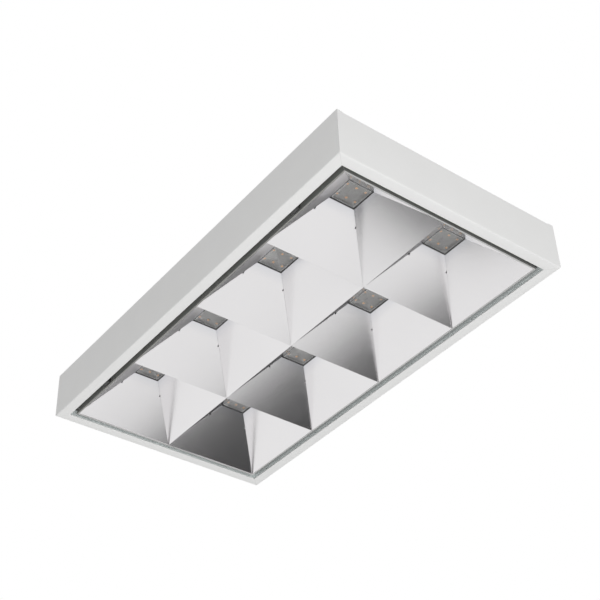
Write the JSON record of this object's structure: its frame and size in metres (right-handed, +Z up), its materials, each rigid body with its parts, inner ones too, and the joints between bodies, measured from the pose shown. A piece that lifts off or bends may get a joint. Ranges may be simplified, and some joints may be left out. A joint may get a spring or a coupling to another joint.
{
  "type": "surface-mounted louvre ceiling luminaire",
  "caption": "Flat ceiling light: a folded white frame round a louvre of square pyramid reflector cells with a lens and LEDs above each, on a hinge for access.",
  "frame": {"origin": "middle of the face that lies against the ceiling", "axes": "+Z up into the ceiling, +Y along the long side towards the cable entry, +X along the short side towards the catches; the hinge is on the -X side"},
  "size_m": [0.324, 0.6, 0.064],
  "materials": {
    "white_coat": "fine white powder coat",
    "trim_aluminium": "satin anodised",
    "louvre_aluminium": "satin anodised reflector sheet",
    "lens_clear": "clear and glossy",
    "board_mask": "dark grey solder mask",
    "led_phosphor": "warm yellow-orange phosphor",
    "zinc_steel": "zinc plated",
    "magnet_nickel": "nickel plated",
    "driver_coat": "white coated case",
    "driver_cap": "dark grey moulding",
    "terminal_plastic": "white moulding",
    "button_plastic": "orange moulding",
    "grommet_rubber": "black, matt",
    "stud_brass": "turned"
  },
  "bodies": {
    "housing": {"top_plate": "white_coat", "left_rail": "white_coat", "right_rail": "white_coat", "front_rail": "white_coat", "back_rail": "white_coat", "left_trim": "trim_aluminium", "right_trim": "trim_aluminium", "front_trim": "trim_aluminium", "back_trim": "trim_aluminium", "corner_brackets": "zinc_steel", "plate_screws": "zinc_steel", "led_board_left": "board_mask", "led_board_right": "board_mask", "led_chips": "led_phosphor", "board_connectors": "terminal_plastic", "board_screws": "zinc_steel", "driver_case": "driver_coat", "driver_input_cap": "driver_cap", "driver_output_cap": "driver_cap", "driver_screws": "zinc_steel", "terminal_block": "terminal_plastic", "cable_grommet": "grommet_rubber", "earth_stud": "stud_brass", "earth_nut": "stud_brass", "hinge_bracket_front": "zinc_steel", "hinge_bracket_back": "zinc_steel", "hinge_pins": "zinc_steel", "catch_bracket_front": "zinc_steel", "catch_bracket_back": "zinc_steel", "catch_magnet_front": "magnet_nickel", "catch_magnet_back": "magnet_nickel", "lens_1": "lens_clear", "lens_2": "lens_clear", "lens_3": "lens_clear", "lens_4": "lens_clear", "lens_5": "lens_clear", "lens_6": "lens_clear", "lens_7": "lens_clear", "lens_8": "lens_clear"},
    "louvre": {"centre_blade": "louvre_aluminium", "cross_blade_1": "louvre_aluminium", "cross_blade_2": "louvre_aluminium", "cross_blade_3": "louvre_aluminium", "cross_blade_4": "louvre_aluminium", "cross_blade_5": "louvre_aluminium", "cross_blade_6": "louvre_aluminium", "left_side_blade": "louvre_aluminium", "right_side_blade": "louvre_aluminium", "front_end_blade": "louvre_aluminium", "back_end_blade": "louvre_aluminium", "hinge_leaf_front": "zinc_steel", "hinge_leaf_back": "zinc_steel", "keeper_front": "zinc_steel", "keeper_back": "zinc_steel", "louvre_rivets": "zinc_steel"},
    "live_release": {"live_button": "button_plastic"},
    "neutral_release": {"neutral_button": "button_plastic"},
    "earth_release": {"earth_button": "button_plastic"}
  },
  "joints": [
    {"name": "louvre_hinge", "type": "hinge", "parent": "housing", "child": "louvre", "pos_m": [-0.144, 0, -0.0595], "axis": [0, 1, 0], "range_deg": [0, 85]},
    {"name": "live_press", "type": "slide", "parent": "housing", "child": "live_release", "axis": [0, 0, 1], "range_m": [0, 0.0012], "stiffness_N_per_m": 2500},
    {"name": "neutral_press", "type": "slide", "parent": "housing", "child": "neutral_release", "axis": [0, 0, 1], "range_m": [0, 0.0012], "stiffness_N_per_m": 2500},
    {"name": "earth_press", "type": "slide", "parent": "housing", "child": "earth_release", "axis": [0, 0, 1], "range_m": [0, 0.0012], "stiffness_N_per_m": 2500}
  ]
}
